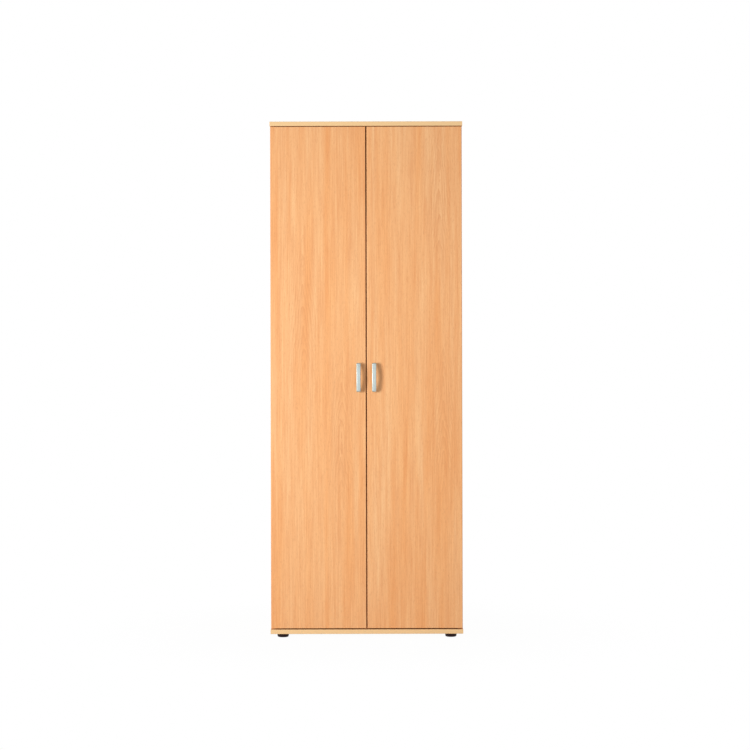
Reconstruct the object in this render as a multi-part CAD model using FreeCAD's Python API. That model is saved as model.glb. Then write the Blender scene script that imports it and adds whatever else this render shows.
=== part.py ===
import FreeCAD, Part
import math
import os

from FreeCAD import Vector

# Two-door broom cupboard in beech decor: flat-pack carcass, doors on concealed cup hinges.
# Millimetres. +Z up, the doors face -Y, +X to the right seen from the front.
# The origin is on the floor below the middle of the whole object, handles included.

# Overall sizes
width = 690.0                # top and bottom boards, end to end
height = 1850.0              # floor to the upper face of the top board
depth = 400.0                # door faces to the back of the joining profile

# Carcass panels
panel_thickness = 16.0       # chipboard of sides, boards, partition and hat shelf
board_overhang = 2.0         # top and bottom boards past the sides, each end
board_edge_radius = 1.5      # rounded edge band of the boards
hat_space = 320.0            # clear height above the hat shelf
partition_offset = 0.0       # middle of the partition from the middle of the cupboard

# Shelves of the right compartment: a fixed one in the middle, loose ones below and above it
shelf_thickness = 16.0
shelf_recess = 20.0          # front edge behind the front edges of the sides
shelf_rear_gap = 4.0
shelf_side_slack = 0.5       # loose shelf, at each end
support_radius = 2.5
support_embed = 8.0          # length of pin inside the panel
support_reach = 7.5          # length of pin under the shelf
support_setback = 37.0       # pin from the shelf's front and rear edges
support_clearance = 0.05
support_hole_extra = 1.0     # drilled deeper than the pin goes

# Back
back_thickness = 3.0
back_inset = 2.0             # edge of the back inside the outline of the carcass
profile_wall = 1.0           # joining profile, web and lips
profile_lip = 7.0            # reach of each lip over the panels
profile_slack = 0.3          # panel edge to web
rear_slack = 0.5             # hat shelf and partition in front of the profile

# Feet
foot_height = 15.0
foot_top_radius = 21.5
foot_base_radius = 17.5
foot_inset = 43.0            # foot axis from the ends and edges of the bottom board

# Doors
door_thickness = 16.0
door_edge_radius = 2.0
door_seat_gap = 2.5          # back of door to front edge of side
door_top_gap = 2.5
door_bottom_gap = 4.0
door_middle_gap = 4.0
bumper_length = 14.0
bumper_margin = 0.8          # pad inside the strip where door and partition overlap
bumper_slack = 0.3           # bumper to the edge that it lands on
bumper_end_distance = 60.0   # bumpers from the lower and upper end of the partition

# Handles
handle_length = 104.0
handle_projection = 27.0     # door face to the crown of the bow
handle_shoulder = 19.5       # door face to the ends of the bow
handle_crown_thickness = 5.0
handle_end_thickness = 6.5
handle_leg = 8.0             # leg measured along the handle
handle_corner = 7.0          # outside rounding from leg to bow
handle_inner_corner = 3.0
handle_end_width = 16.0
handle_mid_width = 14.4
handle_edge_bevel = 1.2
handle_from_edge = 26.0      # handle axis from the meeting edge of its door

# Concealed hinges, three to a door
hinge_count = 3
hinge_end_distance = 100.0   # first and last hinge from the ends of the door
cup_radius = 17.5
cup_wall = 1.0
cup_edge_distance = 3.0      # rim of the cup hole from the edge of the door
cup_front_cover = 3.5        # wood left in front of the cup
cup_clearance = 0.2
cup_flange = 0.8
cup_bar_offset = 6.0         # middle of the flange bar from the middle of the cup
cup_bar_width = 12.0
cup_bar_length = 60.0
cup_bar_clip = 3.0
pin_radius = 1.1
pin_clearance = 0.05
pin_wall_distance = 3.0      # pin axis from the inside of the cup wall
eye_radius = 2.1
eye_floor_gap = 0.9
neck_thickness = 2.5
neck_width = 8.0
neck_bend_radius = 7.0
arm_setback = 4.0            # front of the channel behind the front edge of the side
arm_taper = 14.0             # length over which the channel widens
arm_length = 52.0
arm_width = 15.0
arm_sheet = 1.4
arm_flange_depth = 4.6
plate_height = 7.8           # side panel to the seat of the arm
plate_base = 2.5
plate_screw_setback = 37.0   # screw line from the front edge of the side
plate_width = 14.0
plate_length = 48.0
plate_clip = 3.0
plate_rib_length = 34.0
plate_rib_clearance = 0.4    # rib inside the channel

# Wall bracket
bracket_sheet = 2.0
bracket_width = 30.0
bracket_leg = 28.0
bracket_hole_radius = 2.75
bracket_hole_drop = 16.0     # hole below the top board
bracket_from_side = 100.0    # bracket axis from the inside of its side panel
bracket_back_hole_radius = 4.0

# Levels and lines that the pieces share
x_side = width / 2 - board_overhang
x_inner = x_side - panel_thickness
y_rear = (depth + handle_projection) / 2
y_front = y_rear - depth
y_back_rear = y_rear - profile_wall
y_back = y_back_rear - back_thickness
y_door_back = y_front + door_thickness
y_side = y_door_back + door_seat_gap
y_inside_rear = y_back - profile_wall - rear_slack
z_bottom = foot_height
z_floor = z_bottom + panel_thickness
z_top = height - panel_thickness
z_hat_top = z_top - hat_space
z_hat = z_hat_top - panel_thickness
z_door_low = z_floor + door_bottom_gap
z_door_high = z_top - door_top_gap
z_door_middle = (z_door_low + z_door_high) / 2
x_partition_left = partition_offset - panel_thickness / 2
x_partition_right = partition_offset + panel_thickness / 2
x_meeting = door_middle_gap / 2
x_bracket = x_inner - bracket_from_side

# Hinge lines in plan: u inwards from the outer edge of the door, w rearwards from its back face
cup_depth = door_thickness - cup_front_cover
cup_u = cup_edge_distance + cup_radius
pivot_u = cup_edge_distance + cup_wall + pin_wall_distance
pivot_w = -(cup_depth - cup_wall - eye_floor_gap - eye_radius)
pin_half = math.sqrt(cup_radius ** 2 - (cup_u - pivot_u + pin_radius) ** 2)
seat_u = panel_thickness + plate_height
web_u = seat_u + arm_sheet
neck_u = web_u - neck_thickness / 2
arm_w = door_seat_gap + arm_setback
rib_w = arm_w + arm_taper + plate_rib_clearance
screw_w = door_seat_gap + plate_screw_setback

hinge_step = (z_door_high - z_door_low - 2 * hinge_end_distance) / (hinge_count - 1)
hinge_levels = [z_door_low + hinge_end_distance + i * hinge_step for i in range(hinge_count)]

shelf_space = (z_hat - z_floor - panel_thickness - 2 * shelf_thickness) / 4
z_lower_shelf = z_floor + shelf_space
z_fixed_shelf = z_lower_shelf + shelf_thickness + shelf_space
z_upper_shelf = z_fixed_shelf + panel_thickness + shelf_space
loose_shelf_levels = [z_lower_shelf, z_upper_shelf]
y_shelf_front = y_side + shelf_recess
y_shelf_rear = y_inside_rear - shelf_rear_gap
support_lines = [y_shelf_front + support_setback, y_shelf_rear - support_setback]

handle_x = x_meeting + handle_from_edge

ORIGIN = Vector(0, 0, 0)
X_AXIS = Vector(1, 0, 0)
Y_AXIS = Vector(0, 1, 0)
Z_AXIS = Vector(0, 0, 1)
OVERCUT = 1.0                # how far a cutting tool runs past the face it leaves
NEAR = 1e-3                  # two lengths closer than this are the same


def block(x_range, y_range, z_range):
    """Box between two limits on each axis."""
    low = Vector(x_range[0], y_range[0], z_range[0])
    return Part.makeBox(x_range[1] - x_range[0], y_range[1] - y_range[0], z_range[1] - z_range[0], low)


def rod(radius, start, end):
    """Round bar between two points."""
    return Part.makeCylinder(radius, (end - start).Length, start, end - start)


def mirrored(shape):
    """The same piece for the other hand."""
    return shape.mirror(ORIGIN, X_AXIS)


def line(start, end):
    """Straight edge."""
    return Part.LineSegment(start, end).toShape()


def arc(start, middle, end):
    """Circular edge through three points."""
    return Part.Arc(start, middle, end).toShape()


def face_of(edges):
    """Flat face inside a closed run of edges."""
    return Part.Face(Part.Wire(edges))


def polygon(points):
    """Flat face inside straight edges."""
    return Part.Face(Part.makePolygon(points + points[:1]))


def clipped_bar(at, half_width, half_length, clip, thickness):
    """Flat bar with clipped corners: at maps (across, along) to a point, thickness is the extrusion."""
    corner = [(half_width, half_length - clip), (half_width - clip, half_length)]
    quarter = corner + [(-x, y) for x, y in reversed(corner)]
    outline = quarter + [(-x, -y) for x, y in quarter]
    return polygon([at(x, y) for x, y in outline]).extrude(thickness)


# Boards and feet

def board(z_low):
    """Top or bottom board with rounded front and ends."""
    half = width / 2
    slab = block((-half, half), (y_front, y_back), (z_low, z_low + panel_thickness))
    level = [edge for edge in slab.Edges if edge.BoundBox.ZLength < NEAR]
    shown = [edge for edge in level if edge.CenterOfMass.y < y_back - NEAR]
    return slab.makeFillet(board_edge_radius, shown)


def foot_places():
    """Plan positions of the four feet, front pair first, left before right."""
    x = width / 2 - foot_inset
    return [(side * x, y) for y in (y_front + foot_inset, y_back - foot_inset) for side in (-1, 1)]


def foot(x, y):
    """Round foot that widens from the floor up to the board."""
    return Part.makeCone(foot_base_radius, foot_top_radius, foot_height, Vector(x, y, 0))


# Shelves and supports

def support_places():
    """Support pins of the right compartment: entry point in a panel face, direction into the panel."""
    places = []
    for level in loose_shelf_levels:
        for y in support_lines:
            z = level - support_radius - support_clearance
            places.append((Vector(x_partition_right, y, z), -X_AXIS))
            places.append((Vector(x_inner, y, z), X_AXIS))
    return places


def support_pin(start, into):
    """Plain steel pin, half in the panel and half under the shelf."""
    return rod(support_radius, start + into * support_embed, start - into * support_reach)


def support_hole(start, into):
    """Blind hole for a support pin."""
    inside = start + into * (support_embed + support_hole_extra)
    return rod(support_radius + support_clearance, start - into * OVERCUT, inside)


def shelf(level, thickness, slack):
    """Shelf of the right compartment with some slack at each end."""
    x_range = (x_partition_right + slack, x_inner - slack)
    return block(x_range, (y_shelf_front, y_shelf_rear), (level, level + thickness))


# Back

def wall_screw_line(radius):
    """Round hole on the line of the wall screw, through bracket and back."""
    start = Vector(x_bracket, y_back - bracket_sheet - OVERCUT, z_top - bracket_hole_drop)
    return rod(radius, start, start + Y_AXIS * (bracket_sheet + back_thickness + 2 * OVERCUT))


def back_half():
    """Left half of the hardboard back."""
    x_range = (-x_side + back_inset, -profile_wall / 2 - profile_slack)
    return block(x_range, (y_back, y_back_rear), (z_bottom + back_inset, height - back_inset))


def back_profile():
    """H-section strip that grips the meeting edges of the two back halves."""
    lip = profile_wall / 2 + profile_slack + profile_lip
    web = profile_wall / 2
    y_lip = y_back - profile_wall
    half = [(lip, y_lip), (lip, y_back), (web, y_back), (web, y_back_rear), (lip, y_back_rear), (lip, y_rear)]
    outline = half + [(-x, y) for x, y in reversed(half)]
    return polygon([Vector(x, y, z_floor) for x, y in outline]).extrude(Z_AXIS * (z_top - z_floor))


def wall_bracket():
    """Angle bracket: one leg below the top board, one against the back with the wall hole."""
    inner_y = y_back - bracket_sheet
    inner_z = z_top - bracket_sheet
    outline = [
        (y_back, z_top), (y_back - bracket_leg, z_top), (y_back - bracket_leg, inner_z),
        (inner_y, inner_z), (inner_y, z_top - bracket_leg), (y_back, z_top - bracket_leg),
    ]
    x = x_bracket - bracket_width / 2
    angle = polygon([Vector(x, y, z) for y, z in outline]).extrude(X_AXIS * bracket_width)
    return angle.cut(wall_screw_line(bracket_hole_radius))


# Doors, written for the left and mirrored for the right

def door():
    """Left door: rounded edge band all round, cup pockets in its back."""
    leaf = block((-x_side, -x_meeting), (y_front, y_door_back), (z_door_low, z_door_high))
    outline = [edge for edge in leaf.Edges if edge.BoundBox.YLength < NEAR]
    leaf = leaf.makeFillet(door_edge_radius, outline)
    return leaf.cut(Part.makeCompound([cup_pocket(z) for z in hinge_levels]))


def door_bumpers():
    """Felt pads on the meeting edge of the left door, in front of the partition."""
    x_range = (x_partition_left + bumper_margin, -x_meeting - bumper_margin)
    y_range = (y_door_back, y_side - bumper_slack)
    levels = (z_floor + bumper_end_distance, z_hat - bumper_end_distance)
    return [block(x_range, y_range, (z - bumper_length / 2, z + bumper_length / 2)) for z in levels]


# Handles

def handle():
    """Left bow handle: bridge profile seen from the side, waisted seen from the front."""
    half = handle_length / 2
    leg = half - handle_leg
    inner_shoulder = handle_shoulder - handle_end_thickness
    x_end = handle_end_width / 2

    def side(along, out):
        return Vector(-handle_x - x_end, y_front - out, z_door_middle + along)

    edges = [
        line(side(-half, 0), side(-half, handle_shoulder)),
        arc(side(-half, handle_shoulder), side(0, handle_projection), side(half, handle_shoulder)),
        line(side(half, handle_shoulder), side(half, 0)),
        line(side(half, 0), side(leg, 0)),
        line(side(leg, 0), side(leg, inner_shoulder)),
        arc(side(leg, inner_shoulder), side(0, handle_projection - handle_crown_thickness),
            side(-leg, inner_shoulder)),
        line(side(-leg, inner_shoulder), side(-leg, 0)),
        line(side(-leg, 0), side(-half, 0)),
    ]
    bridge = face_of(edges).extrude(X_AXIS * handle_end_width)

    def corner(edge, along, out):
        middle = edge.CenterOfMass
        return abs(abs(middle.z - z_door_middle) - along) < NEAR and abs(y_front - out - middle.y) < NEAR

    outer = [edge for edge in bridge.Edges if corner(edge, half, handle_shoulder)]
    bridge = bridge.makeFillet(handle_corner, outer)
    inner = [edge for edge in bridge.Edges if corner(edge, leg, inner_shoulder)]
    bridge = bridge.makeFillet(handle_inner_corner, inner)

    far = half + OVERCUT

    def front(across, along):
        return Vector(-handle_x + across, y_front + OVERCUT, z_door_middle + along)

    x_middle = handle_mid_width / 2
    waist = [
        line(front(-x_end, -far), front(x_end, -far)),
        arc(front(x_end, -far), front(x_middle, 0), front(x_end, far)),
        line(front(x_end, far), front(-x_end, far)),
        arc(front(-x_end, far), front(-x_middle, 0), front(-x_end, -far)),
    ]
    bow = bridge.common(face_of(waist).extrude(-Y_AXIS * (handle_projection + 2 * OVERCUT)))
    crown = max(bow.Faces, key=lambda face: -face.CenterOfMass.y)
    rim = [edge for edge in crown.Edges if abs(edge.CenterOfMass.z - z_door_middle) < leg]
    return bow.makeChamfer(handle_edge_bevel, rim)


# Hinges, written for the left door; u and w as above, z is the hinge level

def plan(u, w, z):
    """Point at hinge coordinates on the left-hand side."""
    return Vector(-x_side + u, y_door_back + w, z)


def cup_pocket(z):
    """Blind hole in the back of the door for a hinge cup."""
    deep = cup_depth + cup_clearance
    return rod(cup_radius + cup_clearance, plan(cup_u, OVERCUT, z), plan(cup_u, -deep, z))


def pivot_rod(radius, half_length, z):
    """Round bar on the pivot line of a hinge."""
    middle = plan(pivot_u, pivot_w, z)
    return rod(radius, middle - Z_AXIS * half_length, middle + Z_AXIS * half_length)


def hinge_cup(z):
    """Pressed cup with a flange bar across its rim and the punched windows that hold the pin."""
    shell = rod(cup_radius, plan(cup_u, -cup_depth, z), plan(cup_u, cup_flange, z))
    bar = clipped_bar(lambda across, along: plan(cup_u + cup_bar_offset + across, 0, z + along),
                      cup_bar_width / 2, cup_bar_length / 2, cup_bar_clip, Y_AXIS * cup_flange)
    floor = plan(cup_u, cup_wall - cup_depth, z)
    inside = rod(cup_radius - cup_wall, floor, plan(cup_u, cup_flange + OVERCUT, z))
    fit = pin_radius + pin_clearance
    low = plan(pivot_u - fit, pivot_w - fit, z - cup_radius)
    high = plan(pivot_u + fit, pivot_w + fit, z + cup_radius)
    windows = block((low.x, high.x), (low.y, high.y), (low.z, high.z))
    return shell.fuse(bar).removeSplitter().cut(inside).cut(windows)


def hinge_neck(z):
    """Bent lever from the eye on the pin, along the cup floor and back into the channel."""
    half = neck_thickness / 2
    bend_u = neck_u - neck_bend_radius
    bend_w = pivot_w + neck_bend_radius
    diagonal = math.sqrt(0.5)
    tangent = math.sqrt(eye_radius ** 2 - half ** 2)
    low = z - neck_width / 2

    def at(u, w):
        return plan(u, w, low)

    def on_bend(radius):
        return at(bend_u + radius * diagonal, bend_w - radius * diagonal)

    far = arm_w + arm_taper
    edges = [
        line(at(pivot_u + tangent, pivot_w - half), at(bend_u, pivot_w - half)),
        arc(at(bend_u, pivot_w - half), on_bend(neck_bend_radius + half), at(neck_u + half, bend_w)),
        line(at(neck_u + half, bend_w), at(neck_u + half, far)),
        line(at(neck_u + half, far), at(neck_u - half, far)),
        line(at(neck_u - half, far), at(neck_u - half, bend_w)),
        arc(at(neck_u - half, bend_w), on_bend(neck_bend_radius - half), at(bend_u, pivot_w + half)),
        line(at(bend_u, pivot_w + half), at(pivot_u + tangent, pivot_w + half)),
        arc(at(pivot_u + tangent, pivot_w + half), at(pivot_u - eye_radius, pivot_w),
            at(pivot_u + tangent, pivot_w - half)),
    ]
    solid = face_of(edges).extrude(Z_AXIS * neck_width)
    return solid.cut(pivot_rod(pin_radius + pin_clearance, neck_width, z))


def hinge_channel(z):
    """Sheet channel that sits over the rib of the mounting plate, widening from the neck."""
    low_u = seat_u - arm_flange_depth
    tip = neck_width / 2
    half = arm_width / 2

    def outline(inset, end, u):
        points = [(arm_w + inset, tip - inset), (arm_w + arm_taper, half - inset), (end, half - inset)]
        both = points + [(w, -across) for w, across in reversed(points)]
        return polygon([plan(u, w, z + across) for w, across in both])

    end_w = arm_w + arm_length
    body = outline(0, end_w, low_u).extrude(X_AXIS * (arm_flange_depth + arm_sheet))
    inner = outline(arm_sheet, end_w + OVERCUT, low_u - OVERCUT)
    return body.cut(inner.extrude(X_AXIS * (arm_flange_depth + OVERCUT)))


def hinge_arm(z):
    """Arm of a hinge: neck and channel in one piece."""
    return hinge_channel(z).fuse(hinge_neck(z)).removeSplitter()


def hinge_plate(z):
    """Mounting plate: flat bar for two screws and a raised rib under the arm."""
    bar = clipped_bar(lambda across, along: plan(panel_thickness, screw_w + across, z + along),
                      plate_width / 2, plate_length / 2, plate_clip, X_AXIS * plate_base)
    rib_half = arm_width / 2 - arm_sheet - plate_rib_clearance
    low = plan(panel_thickness, rib_w, z - rib_half)
    high = plan(seat_u, rib_w + plate_rib_length, z + rib_half)
    rib = block((low.x, high.x), (low.y, high.y), (low.z, high.z))
    return bar.fuse(rib).removeSplitter()


def hinge_pin(z):
    """Pin across the cup, on the line that the door turns about."""
    return pivot_rod(pin_radius, pin_half, z)


def group(solids):
    """Separate solids kept together in one node."""
    return Part.makeCompound(solids)


def carcass_nodes():
    """Everything that stands still."""
    side = block((-x_side, -x_inner), (y_side, y_back), (z_floor, z_top))
    partition = block((x_partition_left, x_partition_right), (y_side, y_inside_rear), (z_floor, z_hat))
    supports = support_places()
    support_holes = Part.makeCompound([support_hole(start, into) for start, into in supports])
    back = back_half()
    bracket_hole = wall_screw_line(bracket_back_hole_radius)
    feet = [foot(x, y) for x, y in foot_places()]
    arms = group([hinge_arm(z) for z in hinge_levels])
    plates = group([hinge_plate(z) for z in hinge_levels])
    return {
        "top_board": board(z_top),
        "bottom_board": board(z_bottom),
        "left_side_panel": side,
        "right_side_panel": mirrored(side).cut(support_holes),
        "hat_shelf": block((-x_inner, x_inner), (y_side, y_inside_rear), (z_hat, z_hat_top)),
        "partition": partition.cut(support_holes),
        "back_panel_left": back,
        "back_panel_right": mirrored(back).cut(bracket_hole),
        "back_joining_profile": back_profile(),
        "lower_shelf": shelf(z_lower_shelf, shelf_thickness, shelf_side_slack),
        "fixed_shelf": shelf(z_fixed_shelf, panel_thickness, 0),
        "upper_shelf": shelf(z_upper_shelf, shelf_thickness, shelf_side_slack),
        "shelf_supports": group([support_pin(start, into) for start, into in supports]),
        "front_feet": group(feet[:2]),
        "rear_feet": group(feet[2:]),
        "wall_bracket": wall_bracket(),
        "left_hinge_arms": arms,
        "right_hinge_arms": mirrored(arms),
        "left_hinge_plates": plates,
        "right_hinge_plates": mirrored(plates),
    }


def door_nodes():
    """Pieces that swing with the left door."""
    return {
        "door": door(),
        "door_bumpers": group(door_bumpers()),
        "handle": handle(),
        "hinge_cups": group([hinge_cup(z) for z in hinge_levels]),
        "hinge_pins": group([hinge_pin(z) for z in hinge_levels]),
    }


def main():
    """Build every piece and write it to its own file."""
    os.makedirs("parts", exist_ok=True)
    nodes = carcass_nodes()
    for name, shape in door_nodes().items():
        nodes["left_" + name] = shape
        nodes["right_" + name] = mirrored(shape)
    for name, shape in nodes.items():
        shape.exportStep("parts/" + name + ".step")
        state = "ok" if shape.isValid() else "INVALID"
        print(name, len(shape.Solids), "solids", round(shape.Volume), "mm3", state)


main()
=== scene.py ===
import logging
import math
from dataclasses import dataclass
from enum import Enum
from functools import cache

import bpy
import numpy as np
from mathutils import Matrix, Vector


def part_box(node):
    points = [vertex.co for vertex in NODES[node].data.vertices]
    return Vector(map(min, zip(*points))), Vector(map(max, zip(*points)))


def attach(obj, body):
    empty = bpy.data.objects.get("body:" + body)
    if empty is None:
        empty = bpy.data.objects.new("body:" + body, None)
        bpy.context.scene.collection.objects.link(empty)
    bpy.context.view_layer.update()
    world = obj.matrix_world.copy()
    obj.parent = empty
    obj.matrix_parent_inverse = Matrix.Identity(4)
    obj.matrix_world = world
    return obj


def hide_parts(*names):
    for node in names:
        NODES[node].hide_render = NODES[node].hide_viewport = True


# Broom cupboard with two doors, dressed on its CAD frame.
# Lengths are in metres, unless a class says millimetres.

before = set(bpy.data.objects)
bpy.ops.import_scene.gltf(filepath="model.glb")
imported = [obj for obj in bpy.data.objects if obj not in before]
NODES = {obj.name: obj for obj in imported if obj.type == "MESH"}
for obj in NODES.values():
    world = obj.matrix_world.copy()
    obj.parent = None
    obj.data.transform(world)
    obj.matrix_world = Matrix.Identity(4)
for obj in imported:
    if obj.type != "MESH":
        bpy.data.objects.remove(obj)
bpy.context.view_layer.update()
MM = 0.001
FAR = 9.0

log = logging.getLogger("broom_cupboard")

Point = tuple[float, float, float]
Pair = tuple[float, float]
Hearts = tuple[Pair, Pair]
Colour = tuple[float, float, float, float]
Material = bpy.types.Material
NodeTree = bpy.types.NodeTree
Socket = bpy.types.NodeSocket
Feed = float | tuple[float, ...] | Socket

UP: Point = (0.0, 0.0, 1.0)
DOWN: Point = (0.0, 0.0, -1.0)
BACKWARDS: Point = (0.0, 1.0, 0.0)
WHITE: Colour = (1.0, 1.0, 1.0, 1.0)

# Radius in millimetres at which a turned profile starts and ends beside its axis
AXIS = 0.1
ARC_POINTS = 7
SHARP_EDGE = math.radians(40)

# Sockets of a Mix node that mixes colours
MIX_SHARE, MIX_FIRST, MIX_SECOND = 0, 6, 7
MIX_COLOUR = 2

# Limits between which nearly all of a noise's values lie
CLOUD_LIMITS: Pair = (0.25, 0.75)


class Hand(Enum):
    """Hand of a door seen from the front; the value is the sign of its X."""

    LEFT = -1
    RIGHT = 1

    @property
    def word(self) -> str:
        """Name of the hand as the pieces carry it."""
        return self.name.lower()


class Grain(Enum):
    """Way that the printed grain runs; the value is the turn that lays it along Z."""

    UPRIGHT = (0.0, 0.0, 0.0)
    SIDEWAYS = (0.0, math.pi / 2, 0.0)


class Body(Enum):
    """Rigid bodies that pieces ride on."""

    CARCASS = "carcass"
    LEFT_LEAF = "left_door_leaf"
    RIGHT_LEAF = "right_door_leaf"

    @classmethod
    def leaf(cls, hand: Hand) -> "Body":
        """Door body of one hand."""
        return cls.LEFT_LEAF if hand is Hand.LEFT else cls.RIGHT_LEAF


def paint(red: int, green: int, blue: int) -> Colour:
    """Colour as a screen shows it, turned into linear light by the sRGB curve.

    Args:
        red: Red from 0 to 255.
        green: Green from 0 to 255.
        blue: Blue from 0 to 255.

    Returns:
        Linear colour with full alpha.
    """
    shown = np.array([red, green, blue]) / 255.0
    light = np.where(shown <= 0.04045, shown / 12.92, ((shown + 0.055) / 1.055) ** 2.4)
    return (float(light[0]), float(light[1]), float(light[2]), 1.0)


# Surfaces


@dataclass
class Surface:
    """Points and faces of one or more closed surfaces, held as whole arrays."""

    points: np.ndarray
    quads: np.ndarray
    triangles: np.ndarray

    @classmethod
    def tube(cls, rings: np.ndarray) -> "Surface":
        """Profile carried along a path: rings joined by quads, ends closed by fans of triangles.

        Args:
            rings: Points as rows along the path, columns round the profile, and coordinates.

        Returns:
            Closed surface with its faces outwards.
        """
        rows, columns, _ = rings.shape
        points = np.concatenate([rings.reshape(-1, 3), rings[:1].mean(1), rings[-1:].mean(1)])
        row, column = np.meshgrid(np.arange(rows - 1), np.arange(columns), indexing="ij")
        after = (column + 1) % columns
        corners = [row * columns + column, row * columns + after,
                   (row + 1) * columns + after, (row + 1) * columns + column]
        quads = np.stack(corners, axis=-1).reshape(-1, 4)
        around = np.arange(columns)
        following = (around + 1) % columns
        last = (rows - 1) * columns
        middle = np.full(columns, rows * columns)
        first_fan = np.stack([following, around, middle], axis=-1)
        last_fan = np.stack([last + around, last + following, middle + 1], axis=-1)
        return cls(points, quads, np.concatenate([first_fan, last_fan])).outwards()

    @classmethod
    def gather(cls, surfaces: list["Surface"]) -> "Surface":
        """Several surfaces as one set of arrays.

        Args:
            surfaces: Surfaces to bring together.

        Returns:
            One surface that holds them all.
        """
        starts = np.cumsum([0] + [len(surface.points) for surface in surfaces[:-1]])
        pairs = list(zip(surfaces, starts))
        return cls(
            np.concatenate([surface.points for surface in surfaces]),
            np.concatenate([surface.quads + start for surface, start in pairs]),
            np.concatenate([surface.triangles + start for surface, start in pairs]),
        )

    def outwards(self) -> "Surface":
        """The same surface, with its faces turned round if the volume that they hold is negative.

        Returns:
            Surface with its faces outwards.
        """
        fans = np.concatenate([self.triangles, self.quads[:, [0, 1, 2]], self.quads[:, [0, 2, 3]]])
        a, b, c = (self.points[fans[:, i]] for i in range(3))
        if np.einsum("ij,ij->i", a, np.cross(b, c)).sum() < 0:
            return Surface(self.points, self.quads[:, ::-1], self.triangles[:, ::-1])
        return self

    def placed(self, at: Point, facing: Point) -> "Surface":
        """The same surface with its Z laid along a direction and its origin at a point."""
        turn = np.array(Vector(UP).rotation_difference(Vector(facing)).to_matrix())
        return Surface(self.points @ turn.T + np.array(at), self.quads, self.triangles)

    def copies(self, places: list[Point], facing: Point) -> "Surface":
        """Copies of this surface at several places, all looking the same way."""
        return Surface.gather([self.placed(at, facing) for at in places])

    def linked(self, name: str, finish: Material) -> bpy.types.Object:
        """New smooth-shaded object of this surface, at the origin with its place in its mesh.

        Args:
            name: Name of the object.
            finish: Material that covers it.

        Returns:
            The object.
        """
        mesh = bpy.data.meshes.new(name)
        mesh.from_pydata(self.points.tolist(), [], self.quads.tolist() + self.triangles.tolist())
        mesh.polygons.foreach_set("use_smooth", np.ones(len(mesh.polygons), dtype=bool))
        mesh.set_sharp_from_angle(angle=SHARP_EDGE)
        mesh.materials.append(finish)
        mesh.update()
        made = bpy.data.objects.new(name, mesh)
        bpy.context.scene.collection.objects.link(made)
        return made

    def piece(self, name: str, body: Body, finish: Material, slot: str) -> bpy.types.Object:
        """New piece of the cupboard made of this surface.

        Args:
            name: Name of the piece.
            body: Body that it rides on.
            finish: Material that covers it.
            slot: Material slot of the record that it belongs to; not used.

        Returns:
            The piece.
        """
        made = self.linked(name, finish)
        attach(made, body.value)
        log.info("%s: %d faces on %s", name, len(made.data.polygons), body.value)
        return made


def turned(profile: list[Pair], sides: int) -> Surface:
    """Profile turned about Z.

    Each radius and height becomes a ring at that height: the radius times the cosine and the
    sine of the angle.

    Args:
        profile: Radius and height in millimetres, from one end beside the axis to the other.
        sides: Points in each ring.

    Returns:
        Closed surface in metres.
    """
    radius, height = (np.array(profile) * MM).T
    angle = np.linspace(0, 2 * math.pi, sides, endpoint=False)
    rings = np.stack([np.outer(radius, np.cos(angle)), np.outer(radius, np.sin(angle)),
                      np.repeat(height[:, None], sides, axis=1)], axis=-1)
    return Surface.tube(rings)


def rounded(centre: Pair, radius: float, start: float, end: float) -> list[Pair]:
    """Arc of a profile: centre plus radius times cosine and sine of angles given in degrees."""
    angle = np.radians(np.linspace(start, end, ARC_POINTS))
    return list(zip(centre[0] + radius * np.cos(angle), centre[1] + radius * np.sin(angle)))


@dataclass(frozen=True)
class ScrewHead:
    """Pan-headed screw with a cross recess, seen as its head alone. Millimetres.

    The core and the cross's reach and end are shares of the radius, the fall is one of the height.
    """

    radius: float = 3.6
    height: float = 1.3
    recess: float = 0.8
    arm: float = 0.55
    flank: float = 0.25
    core: float = 0.04
    cross_reach: float = 0.62
    cross_end: float = 0.08
    fall: float = 0.45
    rings: int = 15
    sides: int = 32

    def surface(self) -> Surface:
        """Head over a polar grid: a dome less a cross.

        The dome falls with the fourth power of the radius. The cross is sunk where a point lies
        within an arm's half width of either diameter, has sloping flanks, and ends at its reach.

        Returns:
            Head that sits on the origin and looks along Z.
        """
        share = np.linspace(self.core, 1.0, self.rings)[:, None]
        angle = np.linspace(0, 2 * math.pi, self.sides, endpoint=False)[None, :]
        across = self.radius * share * np.cos(angle)
        along = self.radius * share * np.sin(angle)
        off_arm = np.minimum(np.abs(across), np.abs(along))
        in_arm = np.clip((self.arm - off_arm) / self.flank + 0.5, 0, 1)
        in_reach = np.clip((self.cross_reach - share) / self.cross_end, 0, 1)
        top = self.height * (1 - self.fall * share ** 4) - self.recess * (in_arm * in_reach)
        dome = np.stack([across, along, top], axis=-1)
        foot = dome[-1:] * np.array([1.0, 1.0, 0.0])
        return Surface.tube(np.concatenate([dome, foot]) * MM)

    def row(self, places: list[Point], facing: Point) -> Surface:
        """Several heads that look the same way."""
        return self.surface().copies(places, facing)


# Shader graphs


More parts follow.
